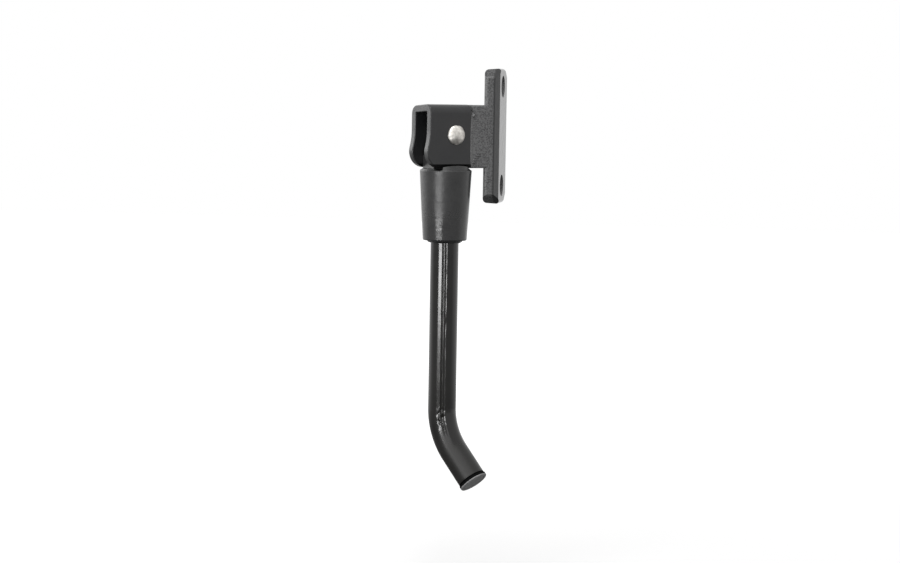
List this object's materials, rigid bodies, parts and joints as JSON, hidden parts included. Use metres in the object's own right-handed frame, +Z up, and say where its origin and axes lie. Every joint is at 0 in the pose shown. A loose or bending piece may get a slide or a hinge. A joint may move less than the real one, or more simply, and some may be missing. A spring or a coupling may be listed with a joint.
{
  "type": "electric scooter kickstand",
  "caption": "Folding kickstand: a T-shaped bolt-on mount, a folded yoke with a rivet, a tapered spring housing and a bent tubular leg with a plugged toe.",
  "frame": {"origin": "centre of the mounting face, midway between the two bolt holes", "axes": "+X out of the mounting face towards the scooter, +Z up along the folded leg, from toe to plate"},
  "size_m": [0.0393, 0.0486, 0.1946],
  "materials": {
    "mount_paint": "coarse black coat on a casting",
    "yoke_paint": "satin black coat",
    "housing_paint": "satin black coat",
    "tube_paint": "gloss black coat",
    "rivet_steel": "peened bright steel",
    "rod_black": "blackened steel",
    "inner_steel": "zinc plated",
    "spring_steel": "oiled spring wire",
    "plug_plastic": "grained black plastic"
  },
  "bodies": {
    "bracket": {"mount_block": "mount_paint", "yoke": "yoke_paint", "pivot_rivet": "rivet_steel"},
    "rod": {"pull_rod": "rod_black", "rod_nut": "inner_steel", "spring_washer": "inner_steel", "coil_spring": "spring_steel"},
    "leg": {"spring_housing": "housing_paint", "leg_tube": "tube_paint", "foot_plug": "plug_plastic"}
  },
  "joints": [
    {"name": "leg_swing", "type": "hinge", "parent": "bracket", "child": "rod", "pos_m": [-0.02275, -0.02121, 0.0006], "axis": [-0.682, 0.7314, 0], "range_deg": [0, 90]},
    {"name": "leg_pull", "type": "slide", "parent": "rod", "child": "leg", "axis": [0, 0, -1], "range_m": [0, 0.003], "stiffness_N_per_m": 8000, "springref_m": -0.008, "deforming": ["coil_spring"]}
  ]
}
